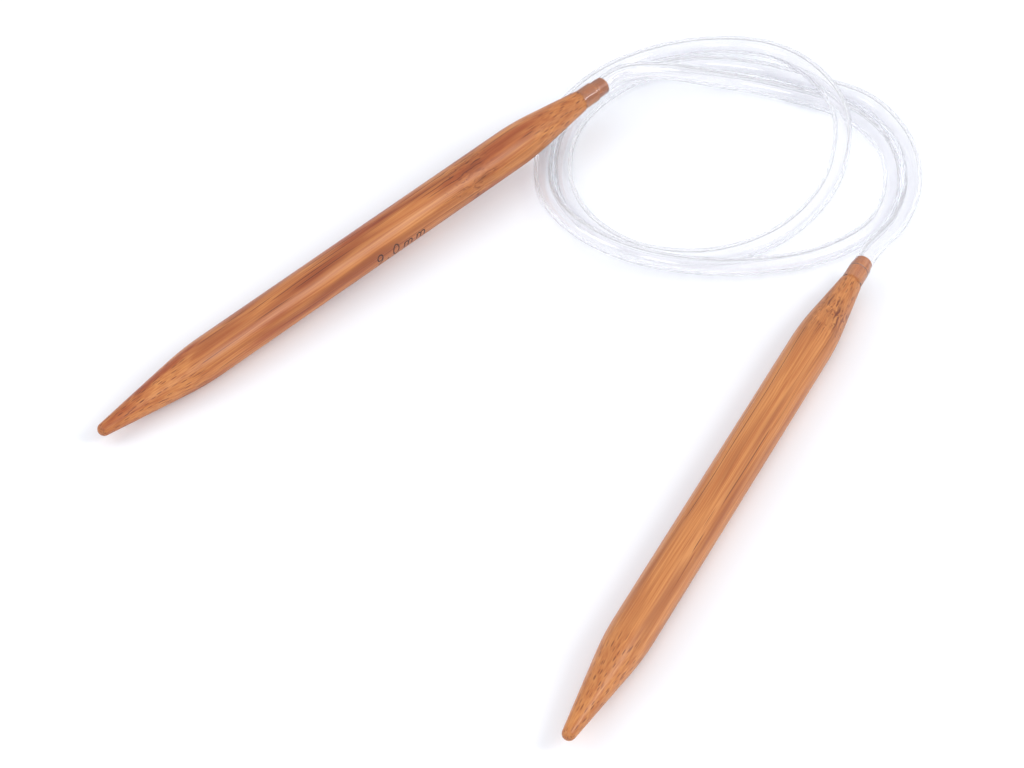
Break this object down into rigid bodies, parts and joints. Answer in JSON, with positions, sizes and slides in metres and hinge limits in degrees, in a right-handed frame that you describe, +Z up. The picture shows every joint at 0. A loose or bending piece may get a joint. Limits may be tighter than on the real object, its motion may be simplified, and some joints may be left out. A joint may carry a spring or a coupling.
{
  "type": "circular knitting needle",
  "caption": "Circular knitting needle: straight wooden tips with tapered points, joined by a clear plastic tube that lies coiled between them.",
  "frame": {"origin": "on the surface that the needle lies on, under the middle of the box around the two tips", "axes": "+Z up; +Y from the tips' points towards the coil; +X to the right, from the left tip to the right tip"},
  "size_m": [0.1716, 0.2047, 0.0123],
  "materials": {
    "bamboo": "satin varnish over heat-browned bamboo",
    "clear_tube": "clear, smooth"
  },
  "bodies": {
    "tube": {"tube": "clear_tube", "left_tube_end": "clear_tube"},
    "left_needle": {"left_tip": "bamboo"},
    "right_end": {"right_tube_end": "clear_tube"},
    "right_needle": {"right_tip": "bamboo"}
  },
  "joints": [
    {"name": "tube_swing", "type": "hinge", "parent": "tube", "child": "right_end", "pos_m": [0.049, 0.072, 0.0045], "axis": [0, 0, 1], "range_deg": [-35, 35], "stiffness_Nm_per_rad": 0.00027, "deforming": ["tube"]},
    {"name": "left_roll", "type": "hinge", "parent": "tube", "child": "left_needle", "pos_m": [0.0248, 0.0904, 0.00879], "axis": [0.7128, 0.7004, 0.0366], "range_deg": [-90, 90], "stiffness_Nm_per_rad": 0.00036},
    {"name": "right_roll", "type": "hinge", "parent": "right_end", "child": "right_needle", "pos_m": [0.0778, 0.0388, 0.0045], "axis": [0.4415, 0.8973, 0], "range_deg": [-90, 90], "stiffness_Nm_per_rad": 0.00036}
  ]
}
